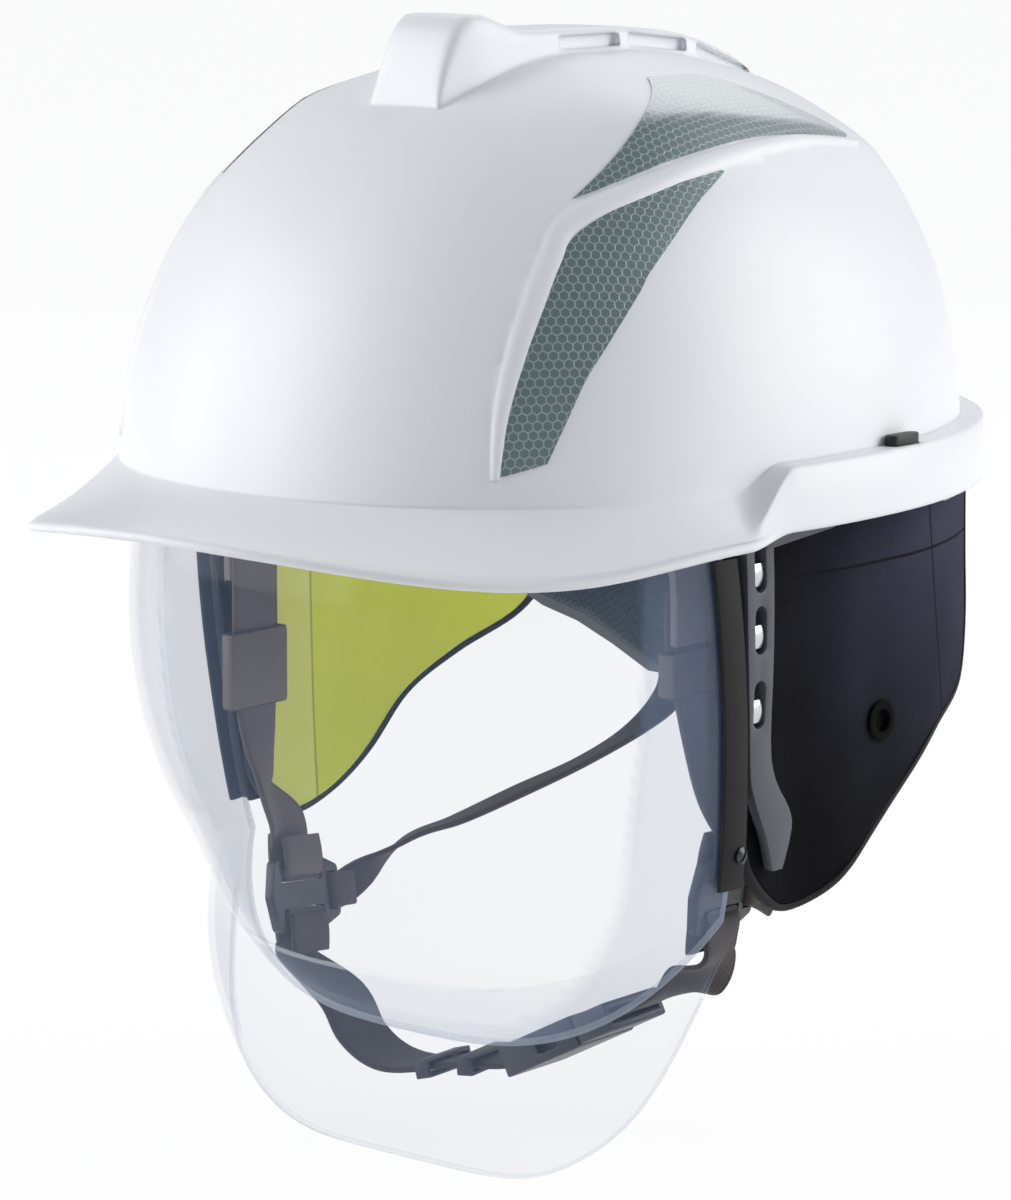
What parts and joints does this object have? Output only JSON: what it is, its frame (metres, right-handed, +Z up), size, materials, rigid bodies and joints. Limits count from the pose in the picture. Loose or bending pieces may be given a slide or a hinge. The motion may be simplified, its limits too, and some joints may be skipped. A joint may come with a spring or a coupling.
{
  "type": "arc flash helmet",
  "caption": "Hard hat with a retracting clear face visor and chin guard, cloth neck flaps, a ratchet suspension and a webbing chin strap with a side release buckle.",
  "frame": {"origin": "on the head's axis, in the plane of the rim's lower edge", "axes": "X to the wearer's left, Y to the rear, Z up through the crown"},
  "size_m": [0.2228, 0.2924, 0.3131],
  "materials": {
    "shell_white": "satin",
    "reflective_film": "honeycomb retroreflective film",
    "plug_black": "matte",
    "bracket_grey": "matte",
    "block_dark": "matte",
    "pin_steel": "bright",
    "visor_clear": "clear, polished",
    "guard_clear": "clear, polished",
    "trim_black": "matte",
    "frame_grey": "satin",
    "rivet_steel": "bright",
    "headband_plastic": "matte",
    "pad_cloth": "soft",
    "crown_webbing": "woven",
    "cradle_slate": "satin",
    "ratchet_black": "matte",
    "flap_navy": "tight weave",
    "lining_lime": "tight weave",
    "binding_black": "woven",
    "eyelet_black": "matte",
    "hanger_grey": "satin",
    "strap_webbing": "woven",
    "buckle_dark": "satin"
  },
  "bodies": {
    "shell": {"shell": "shell_white", "reflector_upper_left": "reflective_film", "reflector_upper_right": "reflective_film", "reflector_lower_left": "reflective_film", "reflector_lower_right": "reflective_film", "slot_plug_left": "plug_black", "slot_plug_right": "plug_black", "side_bracket_left": "bracket_grey", "side_bracket_right": "bracket_grey", "headband": "headband_plastic", "brow_pad": "pad_cloth", "crown_strap_long": "crown_webbing", "crown_strap_cross": "crown_webbing", "crown_pad": "pad_cloth", "rear_key": "bracket_grey", "flap_outer_left": "flap_navy", "flap_outer_right": "flap_navy", "flap_lining_left": "lining_lime", "flap_lining_right": "lining_lime", "flap_binding_left": "binding_black", "flap_binding_right": "binding_black", "flap_eyelet_left": "eyelet_black", "flap_eyelet_right": "eyelet_black", "strap_hanger_left": "hanger_grey", "strap_hanger_right": "hanger_grey", "strap_slider_left": "hanger_grey", "strap_slider_right": "hanger_grey", "front_web_left": "strap_webbing", "front_web_right": "strap_webbing", "rear_web_left": "strap_webbing", "rear_web_right": "strap_webbing", "y_buckle_left": "buckle_dark", "y_buckle_right": "buckle_dark", "chin_web_left": "strap_webbing", "chin_web_right": "strap_webbing", "buckle_socket": "buckle_dark", "web_keepers": "buckle_dark"},
    "visor_slider": {"slide_block_left": "block_dark", "slide_block_right": "block_dark", "pivot_pin_left": "pin_steel", "pivot_pin_right": "pin_steel"},
    "visor": {"visor_lens": "visor_clear", "chin_guard": "guard_clear", "edge_trim_left": "trim_black", "edge_trim_right": "trim_black", "side_frame_left": "frame_grey", "side_frame_right": "frame_grey", "frame_rivets": "rivet_steel"},
    "nape": {"nape_cradle": "cradle_slate", "nape_pad": "pad_cloth", "ratchet_housing": "ratchet_black"},
    "knob": {"ratchet_knob": "ratchet_black"},
    "buckle_plug": {"buckle_plug": "buckle_dark"}
  },
  "joints": [
    {"name": "visor_slide", "type": "slide", "parent": "shell", "child": "visor_slider", "axis": [0, 0.8617, 0.5074], "range_m": [0, 0.03335]},
    {"name": "visor_tilt", "type": "hinge", "parent": "visor_slider", "child": "visor", "pos_m": [0, 0.007, 0.006], "axis": [-1, 0, 0], "range_deg": [0, 46]},
    {"name": "nape_slide", "type": "slide", "parent": "shell", "child": "nape", "axis": [0, -1, 0], "range_m": [-0.01, 0.015], "deforming": ["rear_web_left", "rear_web_right"]},
    {"name": "knob_turn", "type": "hinge", "parent": "nape", "child": "knob", "pos_m": [0, 0.1126, -0.05], "axis": [0, 1, 0], "range_deg": [-120, 180]},
    {"name": "buckle_release", "type": "slide", "parent": "shell", "child": "buckle_plug", "axis": [0.8847, -0.0233, 0.4656], "range_m": [0, 0.022], "deforming": ["chin_web_left"]}
  ],
  "couplings": [
    {"joint": "visor_slide", "follows": "visor_tilt", "m_per_rad": 0.041541},
    {"joint": "knob_turn", "follows": "nape_slide", "rad_per_m": 209.4}
  ]
}
